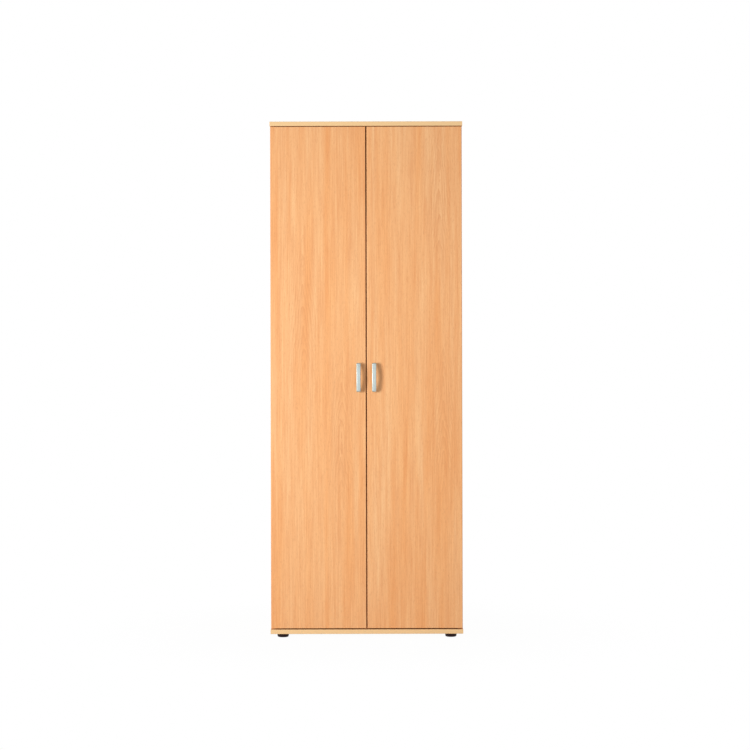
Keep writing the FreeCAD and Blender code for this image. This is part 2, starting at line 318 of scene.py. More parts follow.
class Graph:
    """Adds nodes to one tree and wires them as they are named."""

    def __init__(self, tree: NodeTree) -> None:
        """Keeps the tree that the nodes go into."""
        self.tree = tree

    def feed(self, target: Socket, value: Feed) -> None:
        """Links a socket to a value that varies, or sets it to one that doesn't.

        Args:
            target: Socket that takes the value.
            value: Another node's socket, or a number, vector or colour.
        """
        if isinstance(value, Socket):
            self.tree.links.new(value, target)
        else:
            target.default_value = value

    def add(self, kind: str, feeds: dict[str | int, Feed] | None = None,
            **settings: object) -> bpy.types.Node:
        """New node.

        Args:
            kind: Blender's name for the type of node.
            feeds: What goes into its inputs, by their name or number.
            **settings: Properties of the node.

        Returns:
            The node.
        """
        node = self.tree.nodes.new(kind)
        for name, value in settings.items():
            setattr(node, name, value)
        for key, value in (feeds or {}).items():
            self.feed(node.inputs[key], value)
        return node

    def math(self, operation: str, *values: Feed) -> Socket:
        """Result of a sum on one or two values."""
        return self.add("ShaderNodeMath", dict(enumerate(values)), operation=operation).outputs[0]

    def vector(self, operation: str, *values: Feed) -> Socket:
        """Result of a sum on vectors."""
        node = self.add("ShaderNodeVectorMath", dict(enumerate(values)), operation=operation)
        return node.outputs[0]

    def length(self, vector: Socket) -> Socket:
        """Length of a vector."""
        return self.add("ShaderNodeVectorMath", {0: vector}, operation="LENGTH").outputs["Value"]

    def split(self, vector: Socket) -> list[Socket]:
        """The three coordinates of a vector."""
        return list(self.add("ShaderNodeSeparateXYZ", {0: vector}).outputs)

    def blend(self, *shares: tuple[Socket, float]) -> Socket:
        """Sum of values, each times its share.

        Args:
            *shares: Each value with its share.

        Returns:
            The sum.
        """
        parts = [self.math("MULTIPLY", value, share) for value, share in shares]
        total = parts[0]
        for part in parts[1:]:
            total = self.math("ADD", total, part)
        return total

    def noise(self, vector: Socket, detail: float, roughness: float = 0.5) -> Socket:
        """Cloudy value about a half, one cloud to each unit of the vector."""
        feeds = {"Vector": vector, "Scale": 1.0, "Detail": detail, "Roughness": roughness}
        return self.add("ShaderNodeTexNoise", feeds).outputs[0]

    def rise(self, value: Socket, low: float, high: float,
             start: float = 0.0, end: float = 1.0) -> Socket:
        """Value that climbs smoothly from start to end between two limits."""
        feeds = {"Value": value, "From Min": low, "From Max": high, "To Min": start, "To Max": end}
        return self.add("ShaderNodeMapRange", feeds, interpolation_type="SMOOTHSTEP").outputs[0]

    def mix(self, share: Socket, first: Feed, second: Feed) -> Socket:
        """Colour between two colours."""
        feeds = {MIX_SHARE: share, MIX_FIRST: first, MIX_SECOND: second}
        return self.add("ShaderNodeMix", feeds, data_type="RGBA").outputs[MIX_COLOUR]

    def effect(self, group: NodeTree, **feeds: Feed) -> Socket:
        """Result of a shared effect, its inputs named with small letters."""
        named = {name.capitalize(): value for name, value in feeds.items()}
        return self.add("ShaderNodeGroup", named, node_tree=group).outputs[0]


class EffectGroup(Graph):
    """Shader node group under construction: its inputs by name, and one value as its result."""

    def __init__(self, name: str, **inputs: str) -> None:
        """Empty group.

        Args:
            name: Name of the group.
            **inputs: Type of each input, by its name in small letters.
        """
        super().__init__(bpy.data.node_groups.new(name, "ShaderNodeTree"))
        sockets = self.tree.interface
        for word, kind in inputs.items():
            sockets.new_socket(name=word.capitalize(), in_out="INPUT",
                               socket_type="NodeSocket" + kind)
        sockets.new_socket(name="Value", in_out="OUTPUT", socket_type="NodeSocketFloat")
        entry = self.add("NodeGroupInput")
        self.given = {word: entry.outputs[word.capitalize()] for word in inputs}

    def cells(self) -> Socket:
        """The vector counted in cells of the given width across Z and the given length along it.

        Returns:
            The vector, divided by the size of a cell.
        """
        width, length = self.given["width"], self.given["length"]
        cell = self.add("ShaderNodeCombineXYZ", {0: width, 1: width, 2: length})
        return self.vector("DIVIDE", self.given["vector"], cell.outputs[0])

    def finished(self, value: Socket) -> NodeTree:
        """The group with its result wired."""
        self.add("NodeGroupOutput", {"Value": value})
        return self.tree


@cache
def streak_group() -> NodeTree:
    """Streaks along Z: clouds of the given width and length, spread to the range from 0 to 1.

    Returns:
        The group.
    """
    detail = 2.0
    group = EffectGroup("grain_streaks", vector="Vector", width="Float", length="Float",
                        seed="Float")
    moved = group.vector("ADD", group.cells(), group.given["seed"])
    return group.finished(group.rise(group.noise(moved, detail), *CLOUD_LIMITS))


@cache
def figure_group() -> NodeTree:
    """Plain-sawn figure: growth rings cut at a slant, so that they show as a stack of arches.

    The ring number is the distance across from the heart, rounded off at the nose, plus a share
    of the height above it, divided by the width of a ring. Each ring darkens slowly and ends in
    a line. A slow waver keeps the rings from being true, and the figure fades away from the heart.

    Returns:
        The group.
    """
    waver_scale = (20.0, 20.0, 5.0)
    waver_detail = 3.0
    waver_share = 0.04
    across = (1.0, 1.0, 0.0)
    nose_round = (0.0, 0.0, 0.006)
    slant = 0.11
    darkening = 2.0
    reach = (0.075, 0.075, 0.4)
    fade = (0.2, 1.0)
    group = EffectGroup("sawn_figure", vector="Vector", heart="Vector", ring="Float")
    given = group.given
    stretched = group.vector("MULTIPLY", given["vector"], waver_scale)
    waver = group.math("SUBTRACT", group.noise(stretched, waver_detail), 0.5)
    from_heart = group.vector("SUBTRACT", given["vector"], given["heart"])
    nose = group.vector("ADD", group.vector("MULTIPLY", from_heart, across), nose_round)
    _, _, above = group.split(from_heart)
    climb = group.blend((above, slant), (waver, waver_share))
    number = group.math("DIVIDE", group.math("ADD", group.length(nose), climb), given["ring"])
    line = group.math("POWER", group.math("FRACT", number), darkening)
    share = group.length(group.vector("DIVIDE", from_heart, reach))
    shown = group.rise(share, *fade, 1.0, 0.0)
    return group.finished(group.math("MULTIPLY", line, shown))


@cache
def fleck_group() -> NodeTree:
    """Short dashes along Z: narrow clouds, cut off so that only the densest are left.

    Returns:
        The group.
    """
    detail = 1.0
    densest = (0.58, 0.70)
    group = EffectGroup("pore_flecks", vector="Vector", width="Float", length="Float")
    return group.finished(group.rise(group.noise(group.cells(), detail), *densest))


@cache
def band_group() -> NodeTree:
    """Edge band: 1 within a depth of the faces of a box, given by its low and its high corner.

    Returns:
        The group.
    """
    group = EffectGroup("edge_band", vector="Vector", low="Vector", high="Vector", depth="Float")
    given = group.given
    inside = group.vector("MINIMUM", group.vector("SUBTRACT", given["vector"], given["low"]),
                          group.vector("SUBTRACT", given["high"], given["vector"]))
    x, y, z = group.split(inside)
    nearest = group.math("MINIMUM", group.math("MINIMUM", x, y), z)
    return group.finished(group.math("LESS_THAN", nearest, given["depth"]))


@cache
def speckle_group() -> NodeTree:
    """Even speckle: clouds of the given size, spread to the range from 0 to 1.

    Returns:
        The group.
    """
    detail = 3.0
    roughness = 0.6
    group = EffectGroup("speckle", vector="Vector", size="Float", seed="Float")
    given = group.given
    counted = group.vector("DIVIDE", given["vector"], given["size"])
    moved = group.vector("ADD", counted, given["seed"])
    return group.finished(group.rise(group.noise(moved, detail, roughness), *CLOUD_LIMITS))


@dataclass(frozen=True)
class Streak:
    """Size of streaks along the grain, a seed that sets them apart, and their share in a blend."""

    width: float
    length: float
    seed: float = 0.0
    share: float = 1.0


@dataclass(frozen=True)
class Speckle:
    """Size of a speckle, a seed that sets it apart, and its share in a blend."""

    size: float
    seed: float
    share: float = 1.0


@dataclass(frozen=True)
class Relief:
    """Depth of a fine relief, and how strongly it shows."""

    depth: float
    strength: float


class Coat:
    """Material under construction: its graph, its shader and the piece's own coordinates."""

    def __init__(self, name: str, grain: Grain = Grain.UPRIGHT) -> None:
        """Empty material with one Principled shader.

        Args:
            name: Name of the material.
            grain: Way that the pattern runs.
        """
        self.material = bpy.data.materials.new(name)
        self.material.use_nodes = True
        self.graph = Graph(self.material.node_tree)
        self.shader = self.material.node_tree.nodes["Principled BSDF"]
        self.place = self.graph.add("ShaderNodeTexCoord").outputs["Object"]
        self.pattern = self.place
        if grain is not Grain.UPRIGHT:
            feeds = {"Vector": self.place, "Rotation": grain.value}
            self.pattern = self.graph.add("ShaderNodeMapping", feeds).outputs[0]

    def streaks(self, cut: Streak, seed: float = 0.0) -> Socket:
        """Streaks of one size along the grain."""
        return self.graph.effect(streak_group(), vector=self.pattern, width=cut.width,
                                 length=cut.length, seed=cut.seed + seed)

    def flecks(self, cut: Streak) -> Socket:
        """Short dashes of one size along the grain."""
        return self.graph.effect(fleck_group(), vector=self.pattern, width=cut.width,
                                 length=cut.length)

    def speckles(self, cut: Speckle) -> Socket:
        """Speckle of one size."""
        return self.graph.effect(speckle_group(), vector=self.pattern, size=cut.size,
                                 seed=cut.seed)

    def set(self, **values: Feed) -> None:
        """Feeds the shader's sockets, named with small letters and underscores.

        Args:
            **values: What goes into each socket.
        """
        for name, value in values.items():
            words = name.replace("_", " ").title().replace("Ior", "IOR")
            self.graph.feed(self.shader.inputs[words], value)

    def roughen(self, mask: Socket, smooth: float, rough: float) -> None:
        """Lets the roughness climb with a mask, from smooth at 0 to rough at 1."""
        self.set(roughness=self.graph.rise(mask, 0.0, 1.0, smooth, rough))

    def bump(self, height: Socket, relief: Relief) -> None:
        """Lays a relief into the shader's normal."""
        feeds = {"Height": height, "Distance": relief.depth, "Strength": relief.strength}
        self.set(normal=self.graph.add("ShaderNodeBump", feeds).outputs[0])


# Finishes


@dataclass(frozen=True)
class EdgeBand:
    """Edge band on those faces of a panel where a corner is given; the other faces are far off."""

    low: Point = (-FAR, -FAR, -FAR)
    high: Point = (FAR, FAR, FAR)
    depth: float = 1.1 * MM
    share: float = 0.8
    colour: Colour = paint(238, 206, 154)


@dataclass(frozen=True)
class BeechDecor:
    """Beech-patterned foil on chipboard, with an edge band.

    The pattern lays pale and deep zones, fine lines, the arches of a sawn board and short pores
    over each other.
    """

    name: str
    grain: Grain
    seed: float
    hearts: tuple[Point, Point]
    band: EdgeBand
    pale: Colour = paint(246, 200, 147)
    deep: Colour = paint(242, 176, 114)
    shade: Colour = paint(202, 106, 36)
    line: Colour = paint(212, 141, 88)
    pore: Colour = paint(191, 122, 75)
    broad: Streak = Streak(0.06, 1.1, 0.0, 0.62)
    hue: Streak = Streak(0.022, 0.6, 7.3, 0.32)
    narrow: Streak = Streak(0.0085, 0.28, 5.2, 0.13)
    thread: Streak = Streak(0.0034, 0.22, 3.1, 0.21)
    dash: Streak = Streak(0.0026, 0.06, 9.4, 0.14)
    pores: Streak = Streak(0.0011, 0.011, share=0.3)
    ring: float = 0.0085
    figure: float = 0.52
    gloss: float = 0.3
    smooth: float = 0.46
    rough: float = 0.56
    pore_height: float = -0.8
    relief: Relief = Relief(0.1 * MM, 0.16)

    def material(self) -> Material:
        """The finish as a material.

        Returns:
            The material.
        """
        coat = Coat(self.name, self.grain)
        graph = coat.graph
        cuts = (self.broad, self.hue, self.narrow, self.thread, self.dash)
        broad, hue, narrow, thread, dash = (coat.streaks(cut, self.seed) for cut in cuts)
        pores = coat.flecks(self.pores)
        rings = [graph.effect(figure_group(), vector=coat.pattern, heart=heart, ring=self.ring)
                 for heart in self.hearts]
        edge = graph.effect(band_group(), vector=coat.place, low=self.band.low,
                            high=self.band.high, depth=self.band.depth)
        zones = graph.blend((broad, self.broad.share), (hue, self.hue.share))
        lines = graph.blend((narrow, self.narrow.share), (thread, self.thread.share),
                            (dash, self.dash.share))
        arches = graph.math("MULTIPLY", graph.math("MAXIMUM", *rings), self.figure)
        colour = graph.mix(zones, self.deep, self.pale)
        colour = graph.mix(lines, colour, self.shade)
        colour = graph.mix(arches, colour, self.line)
        colour = graph.mix(graph.math("MULTIPLY", pores, self.pores.share), colour, self.pore)
        colour = graph.mix(graph.math("MULTIPLY", edge, self.band.share), colour, self.band.colour)
        coat.set(base_color=colour, specular_ior_level=self.gloss)
        coat.roughen(dash, self.smooth, self.rough)
        coat.bump(graph.blend((dash, 1.0), (pores, self.pore_height)), self.relief)
        return coat.material


@dataclass(frozen=True)
class Hardboard:
    """Thin pressed fibre board: printed to match inside, raw brown with loose fibres outside."""

    name: str
    turn_line: float
    pale: Colour = paint(176, 132, 92)
    deep: Colour = paint(140, 97, 62)
    fibre: Colour = paint(206, 170, 130)
    print_pale: Colour = paint(241, 189, 136)
    print_deep: Colour = paint(230, 162, 104)
    cloud: Speckle = Speckle(0.035, 2.0, 0.5)
    grit: Speckle = Speckle(0.0022, 7.0, 0.5)
    fibres: Streak = Streak(0.0012, 0.006, share=0.45)
    streak: Streak = Streak(0.009, 0.3, 2.0, 0.35)
    thread: Streak = Streak(0.0034, 0.2, 8.0, 0.65)
    smooth: float = 0.55
    rough: float = 0.8
    relief: Relief = Relief(0.3 * MM, 0.3)

    def material(self) -> Material:
        """The finish as a material, raw behind the turn line in Y and printed before it.

        Returns:
            The material.
        """
        coat = Coat(self.name)
        graph = coat.graph
        cloud, grit = coat.speckles(self.cloud), coat.speckles(self.grit)
        fibres = coat.flecks(self.fibres)
        streak, thread = coat.streaks(self.streak), coat.streaks(self.thread)
        raw = graph.mix(graph.blend((cloud, self.cloud.share), (grit, self.grit.share)),
                        self.deep, self.pale)
        raw = graph.mix(graph.math("MULTIPLY", fibres, self.fibres.share), raw, self.fibre)
        printed = graph.mix(graph.blend((streak, self.streak.share), (thread, self.thread.share)),
                            self.print_deep, self.print_pale)
        _, y, _ = graph.split(coat.place)
        outside = graph.math("GREATER_THAN", y, self.turn_line)
        coat.set(base_color=graph.mix(outside, printed, raw))
        coat.roughen(grit, self.smooth, self.rough)
        coat.bump(grit, self.relief)
        return coat.material


@dataclass(frozen=True)
class BareMetal:
    """Plated or satin metal with fine drawn lines along Z."""

    name: str
    pale: Colour
    dark: Colour
    smooth: float
    rough: float
    lines: Streak = Streak(0.0006, 0.03, 1.0)
    bloom: Speckle = Speckle(0.02, 4.0)
    relief: Relief = Relief(0.02 * MM, 0.4)

    def material(self) -> Material:
        """The finish as a material.

        Returns:
            The material.
        """
        coat = Coat(self.name)
        lines = coat.streaks(self.lines)
        colour = coat.graph.mix(coat.speckles(self.bloom), self.dark, self.pale)
        coat.set(base_color=colour, metallic=1.0)
        coat.roughen(lines, self.smooth, self.rough)
        coat.bump(lines, self.relief)
        return coat.material


@dataclass(frozen=True)
class MouldedPlastic:
    """Moulded plastic with a slight eroded grain."""

    name: str
    dark: Colour
    pale: Colour
    gloss: float = 0.5
    smooth: float = 0.3
    rough: float = 0.46
    erosion: Speckle = Speckle(0.001, 1.0)
    bloom: Speckle = Speckle(0.03, 6.0)
    relief: Relief = Relief(0.08 * MM, 0.35)

    def material(self) -> Material:
        """The finish as a material.

        Returns:
            The material.
        """
        coat = Coat(self.name)
        erosion = coat.speckles(self.erosion)
        colour = coat.graph.mix(coat.speckles(self.bloom), self.dark, self.pale)
        coat.set(base_color=colour, specular_ior_level=self.gloss)
        coat.roughen(erosion, self.smooth, self.rough)
        coat.bump(erosion, self.relief)
        return coat.material


@dataclass(frozen=True)
class Felt:
    """Pressed felt of the door pads."""

    name: str
    pale: Colour = paint(196, 160, 122)
    dark: Colour = paint(150, 114, 80)
    rough: float = 0.95
    sheen: float = 0.4
    nap: Speckle = Speckle(0.0011, 3.0)
    relief: Relief = Relief(0.4 * MM, 0.6)

    def material(self) -> Material:
        """The finish as a material.

        Returns:
            The material.
        """
        coat = Coat(self.name)
        nap = coat.speckles(self.nap)
        coat.set(base_color=coat.graph.mix(nap, self.dark, self.pale), roughness=self.rough,
                 sheen_weight=self.sheen)
        coat.bump(nap, self.relief)
        return coat.material


class Finishes:
    """Finishes that several pieces share, made once."""

    def __init__(self) -> None:
        """Builds each material."""
        self.silver = BareMetal("satin_silver", paint(187, 197, 194), paint(177, 187, 185),
                                smooth=0.41, rough=0.51).material()
        self.nickel = BareMetal("nickel_plate", paint(206, 203, 196), paint(186, 182, 174),
                                smooth=0.2, rough=0.34).material()
        self.zinc = BareMetal("zinc_plate", paint(198, 200, 202), paint(168, 172, 176),
                              smooth=0.3, rough=0.5).material()
        self.foot = MouldedPlastic("foot_plastic", paint(32, 13, 17), paint(42, 20, 25),
                                   gloss=0.15).material()
        self.profile = MouldedPlastic("profile_plastic", paint(218, 162, 110),
                                      paint(228, 176, 124)).material()
        self.felt = Felt("pad_felt").material()


def apply_finish(node: str, finish: Material) -> None:
    """Covers a CAD node with a finish.

    Args:
        node: Name of the node.
        finish: Material that covers it.
    """
    slots = NODES[node].data.materials
    slots.clear()
    slots.append(finish)
    log.info("%s: %s", node, finish.name)


# Sub-assemblies


@dataclass
class Carcass:
    """Boards, sides, partition and shelves, with the caps over their connectors.

    A cap's own sizes are in millimetres, and its flat is a share of its radius. Hearts are places
    of the grain's figure on a panel, from front to back and along the grain.
    """

    finishes: Finishes
    cap_radius: float = 8.6
    cap_height: float = 1.3
    cap_edge: float = 0.6
    cap_drop: float = 0.3
    cap_flat: float = 0.6
    cap_fall: float = 0.1
    cap_sides: int = 32
    cap_from_end: float = 34 * MM
    cap_from_front: float = 60 * MM
    cap_from_rear: float = 58 * MM
    board_seed: float = 20.0
    board_hearts: Hearts = ((-0.05, 0.2), (0.08, -0.25))
    board_band: float = 1.2 * MM
    upright_seed: float = 40.0
    upright_hearts: Hearts = ((-0.07, 1.3), (0.1, 0.5))
    shelf_seed: float = 60.0
    shelf_hearts: Hearts = ((-0.06, 0.15), (0.1, -0.2))
    seed_step: float = 5.0
    # Band on the inner panels' front edges, darker than the outer band: a real band that also
    # paints shade into the gap between the doors.
    inner_band_and_gap_shade: Colour = paint(222, 156, 98)

    def cover(self, node: str, grain: Grain, seed: float, hearts: Hearts, band: EdgeBand) -> None:
        """Covers one panel with its own cut of the decor.

        Args:
            node: Name of the panel.
            grain: Way that its grain runs.
            seed: Number that sets its pattern apart.
            hearts: Places of its figure.
            band: Its edge band.
        """
        low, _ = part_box(node)
        face = low.x if grain is Grain.UPRIGHT else low.z
        first, second = ((face, *heart) for heart in hearts)
        decor = BeechDecor("beech_" + node, grain, seed, (first, second), band)
        apply_finish(node, decor.material())

    def dress(self) -> None:
        """Covers the panels, each banded where it shows an edge, the inner ones darker to paint
        shade into the door gap, and the shelves' pins.
        """
        for number, node in enumerate(("top_board", "bottom_board")):
            low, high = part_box(node)
            band = EdgeBand((low.x, low.y, -FAR), (high.x, FAR, FAR), self.board_band)
            seed = self.board_seed + self.seed_step * number
            self.cover(node, Grain.SIDEWAYS, seed, self.board_hearts, band)
        uprights = ("left_side_panel", "right_side_panel", "partition")
        shelves = ("hat_shelf", "lower_shelf", "fixed_shelf", "upper_shelf")
        rows = ((uprights, Grain.UPRIGHT, self.upright_seed, self.upright_hearts),
                (shelves, Grain.SIDEWAYS, self.shelf_seed, self.shelf_hearts))
        for nodes, grain, first_seed, hearts in rows:
            for number, node in enumerate(nodes):
                band = EdgeBand((-FAR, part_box(node)[0].y, -FAR), colour=self.inner_band_and_gap_shade)
                self.cover(node, grain, first_seed + self.seed_step * number, hearts, band)
        apply_finish("shelf_supports", self.finishes.zinc)

    def cap(self) -> Surface:
        """Connector cap turned about its axis: a flat dome with a rolled rim.

        Returns:
            Cap that sits on the origin and looks along Z.
        """
        edge_height = self.cap_height - self.cap_drop - self.cap_edge
        rim = rounded((self.cap_radius - self.cap_edge, edge_height), self.cap_edge, 90, 0)
        crown = [(AXIS, self.cap_height),
                 (self.cap_radius * self.cap_flat, self.cap_height - self.cap_fall)]
        return turned(crown + rim + [(self.cap_radius, 0.0), (AXIS, 0.0)], self.cap_sides)

    def cap_places(self) -> list[tuple[Point, Point]]:
        """Where the caps sit: on the sides and the partition, and under the fixed shelves.

        Returns:
            Place and direction of each cap.
        """
        low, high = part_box("left_side_panel")
        rows = (low.y + self.cap_from_front, high.y - self.cap_from_rear)
        levels = (low.z + self.cap_from_end, high.z - self.cap_from_end)
        places = [((-hand.value * high.x, y, z), (-float(hand.value), 0.0, 0.0))
                  for hand in Hand for y in rows for z in levels]
        low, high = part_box("partition")
        levels = (low.z + self.cap_from_end, high.z - self.cap_from_end)
        places += [((low.x, y, z), (-1.0, 0.0, 0.0)) for y in rows for z in levels]
        for shelf in ("hat_shelf", "fixed_shelf"):
            low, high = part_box(shelf)
            ends = (low.x + self.cap_from_end, high.x - self.cap_from_end)
            places += [((x, y, low.z), DOWN) for x in ends for y in rows]
        return places

    def build(self) -> None:
        """Dresses the panels and sets the caps."""
        self.dress()
        one = self.cap()
        caps = Surface.gather([one.placed(at, facing) for at, facing in self.cap_places()])
        caps.piece("connector_caps", Body.CARCASS, self.finishes.profile, "profile_plastic")


@dataclass
class Back:
    """Hardboard back, its joining profile, the nails along its edges and the wall bracket.

    A nail's own sizes are in millimetres, and its flat and rim are shares of them.
    """

    finishes: Finishes
    nail_radius: float = 1.9
    nail_height: float = 0.55
    nail_core: float = 0.05
    nail_flat: Pair = (0.7, 0.85)
    nail_rim: float = 0.3
    nail_sides: int = 16
    nail_spacing: float = 140 * MM
    nail_inset: float = 7 * MM
    nail_off_middle: float = 30 * MM
    bracket_sheet: float = 2 * MM
    bracket_screw: float = 16 * MM
    bracket_head: ScrewHead = ScrewHead(radius=3.8, height=1.9)

    def nail(self) -> Surface:
        """Nail head turned about its axis: a flat dome.

        Returns:
            Head that sits on the origin and looks along Z.
        """
        radius, height = self.nail_radius, self.nail_height
        across, up = self.nail_flat
        crown = [(self.nail_core, height), (radius * across, height * up)]
        rim = [(radius, height * self.nail_rim), (radius, 0.0), (self.nail_core, 0.0)]
        return turned(crown + rim, self.nail_sides)

    def nail_places(self) -> list[Point]:
        """Nails up the outer edges of the halves, and across at the boards and the hat shelf.

        Returns:
            Place of each nail.
        """
        low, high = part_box("back_panel_left")
        shelf_low, shelf_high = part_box("hat_shelf")
        edge = -low.x - self.nail_inset
        bottom, top = low.z + self.nail_inset, high.z - self.nail_inset
        heights = np.linspace(bottom, top, round((top - bottom) / self.nail_spacing) + 1)
        steps = round(edge / self.nail_spacing) + 1
        across = np.linspace(self.nail_off_middle, edge, steps)[:-1]
        levels = (bottom, (shelf_low.z + shelf_high.z) / 2, top)
        upward = [(hand.value * edge, high.y, z) for hand in Hand for z in heights]
        return upward + [(hand.value * x, high.y, z)
                         for hand in Hand for x in across for z in levels]

    def dress(self) -> None:
        """Covers the panels, the profile and the bracket."""
        low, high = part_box("back_panel_left")
        board = Hardboard("hardboard", (low.y + high.y) / 2).material()
        apply_finish("back_panel_left", board)
        apply_finish("back_panel_right", board)
        apply_finish("back_joining_profile", self.finishes.profile)
        apply_finish("wall_bracket", self.finishes.zinc)

    def build(self) -> None:
        """Dresses the back and sets its nails and the bracket's screw."""
        self.dress()
        nails = self.nail().copies(self.nail_places(), BACKWARDS)
        nails.piece("back_nails", Body.CARCASS, self.finishes.zinc, "bracket_steel")
        low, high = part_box("wall_bracket")
        at = ((low.x + high.x) / 2, high.y - self.bracket_screw, high.z - self.bracket_sheet)
        screw = self.bracket_head.row([at], DOWN)
        screw.piece("bracket_screw", Body.CARCASS, self.finishes.zinc, "bracket_steel")


@dataclass
class Feet:
    """Turned plastic feet under the bottom board. Millimetres, and the flank's tilt in degrees.

    The top edge's points are steps in from the radius and down from the top.
    """

    finishes: Finishes
    base_round: float = 5.0
    flank: float = 1.0
    flank_tilt: float = 6.0
    dish_radius: float = 11.0
    dish_depth: float = 1.2
    dish_slope: float = 1.0
    top_edge: tuple[Pair, Pair, Pair] = ((0.0, 1.0), (0.3, 0.2), (0.6, 0.0))
    sides: int = 48

    def foot(self, radius: float, height: float) -> Surface:
        """Foot turned about its axis: dished base, rounded lower edge, slightly flared flank.

        Args:
            radius: Radius at the top.
            height: Height of the foot.

        Returns:
            Foot that stands on the origin.
        """
        base = radius - self.flank - self.base_round
        dish = [(AXIS, self.dish_depth), (self.dish_radius, self.dish_depth),
                (self.dish_radius + self.dish_slope, 0.0)]
        edge = rounded((base, self.base_round), self.base_round, -90, -self.flank_tilt)
        top = [(radius - inward, height - down) for inward, down in self.top_edge]
        return turned(dish + edge + top + [(AXIS, height)], self.sides)

    def build(self) -> None:
        """Turns each pair of feet and stands it in place of its CAD node."""
        for node in ("front_feet", "rear_feet"):
            low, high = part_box(node)
            reach = (high.y - low.y) / 2
            one = self.foot(reach / MM, (high.z - low.z) / MM)
            places = [(x, low.y + reach, low.z) for x in (low.x + reach, high.x - reach)]
            pair = one.copies(places, UP)
            piece = pair.piece(node + "_turned", Body.CARCASS, self.finishes.foot, "foot_plastic")
            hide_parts(node)


@dataclass
class BowHandle:
    """Satin bow handle on two short legs, waisted in the middle, with a dish along its face.

    Millimetres along the handle and out of the door.
    """

    finishes: Finishes
    hand: Hand
    leg: float = 8.0
    shoulder: float = 19.5
    inner_shoulder: float = 13.0
    crown_thickness: float = 5.0
    corner: float = 7.0
    inner_corner: float = 3.0
    end_width: float = 16.0
    mid_width: float = 14.4
    squareness: float = 2.8
    dish: float = 0.8
    leg_points: int = 6
    corner_points: int = 10
    bow_points: int = 28
    sides: int = 48
    screw_head: ScrewHead = ScrewHead(radius=4.2, height=2.2, recess=1.2)

    @staticmethod
    def bow(along: np.ndarray, half: float, shoulder: float, crown: float) -> np.ndarray:
        """Height of the bow: a parabola from the crown in the middle to the shoulder at the end."""
        return crown - (crown - shoulder) * (along / half) ** 2

    def bridge(self, half: float, shoulder: float, crown: float, corner: float) -> np.ndarray:
        """Line of the handle: up one leg, round a quarter turn, along the bow and back down.

        Args:
            half: Half of the length over the legs' faces.
            shoulder: Height of the bow above the leg.
            crown: Height of the bow in the middle.
            corner: Radius of the turn from leg to bow.

        Returns:
            Points as (along, out).
        """
        meet = half - corner
        start = float(self.bow(np.array(meet), half, shoulder, crown)) - corner
        climb = np.linspace(0.0, start, self.leg_points, endpoint=False)
        up = np.stack([np.full(self.leg_points, half), climb], axis=-1)
        turn = np.linspace(0.0, math.pi / 2, self.corner_points, endpoint=False)
        bend = np.stack([meet + corner * np.cos(turn), start + corner * np.sin(turn)], axis=-1)
        run = np.linspace(meet, 0.0, self.bow_points)
        span = np.stack([run, self.bow(run, half, shoulder, crown)], axis=-1)
        line = np.concatenate([up, bend, span])
        return np.concatenate([line, (line * np.array([-1.0, 1.0]))[-2::-1]])

    def surface(self) -> Surface:
        """Rounded oblong section carried along the bridge, between its outer and its inner line.

        Each ring is a superellipse: the cosine of the angle, raised to a power, reaches from the
        inner to the outer line, and the sine reaches across half of the width. The outer half is
        dished: it is lowered by the dish times one less the square of the sine's reach, and then
        stretched so that its highest points stay on the outer line. The dish fades with the
        fourth power of the height down the legs.

        Returns:
            Handle in its place on the door.
        """
        low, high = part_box(self.hand.word + "_handle")
        half = (high.z - low.z) / 2 / MM
        crown = (high.y - low.y) / MM
        outer = self.bridge(half, self.shoulder, crown, self.corner)
        inner = self.bridge(half - self.leg, self.inner_shoulder, crown - self.crown_thickness,
                            self.inner_corner)
        middle, reach = (outer + inner) / 2, (outer - inner) / 2
        width = self.mid_width + (self.end_width - self.mid_width) * (middle[:, 0] / half) ** 2
        angle = np.linspace(0, 2 * math.pi, self.sides, endpoint=False)
        power = 2 / self.squareness
        lift = np.sign(np.cos(angle)) * np.abs(np.cos(angle)) ** power
        side = np.sign(np.sin(angle)) * np.abs(np.sin(angle)) ** power
        fade = np.clip(middle[:, 1] / self.shoulder, 0, 1) ** 4
        depth = self.dish * fade / np.linalg.norm(reach, axis=1)
        hollow = lift * (1 - depth[:, None] * (1 - side ** 2))
        lifted = np.where(lift > 0, hollow / hollow.max(axis=1, keepdims=True), lift)
        section = middle[:, None, :] + reach[:, None, :] * lifted[..., None]
        across = width[:, None] / 2 * side[None, :]
        rings = np.stack([across, -section[..., 1], section[..., 0]], axis=-1) * MM
        centre = np.array([(low.x + high.x) / 2, high.y, (low.z + high.z) / 2])
        return Surface.tube(rings + centre)

    def build(self) -> None:
        """Sets the handle in place of its CAD node, and its screws on the back of the door."""
        word = self.hand.word
        body = Body.leaf(self.hand)
        bow = self.surface().piece(word + "_bow_handle", body, self.finishes.silver, "handle_metal")
        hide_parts(word + "_handle")
        low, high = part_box(word + "_handle")
        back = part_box(word + "_door")[1].y
        inset = self.leg / 2 * MM
        places = [((low.x + high.x) / 2, back, z) for z in (low.z + inset, high.z - inset)]
        screws = self.screw_head.row(places, BACKWARDS)
        screws.piece(word + "_handle_screws", body, self.finishes.zinc, "handle_metal")


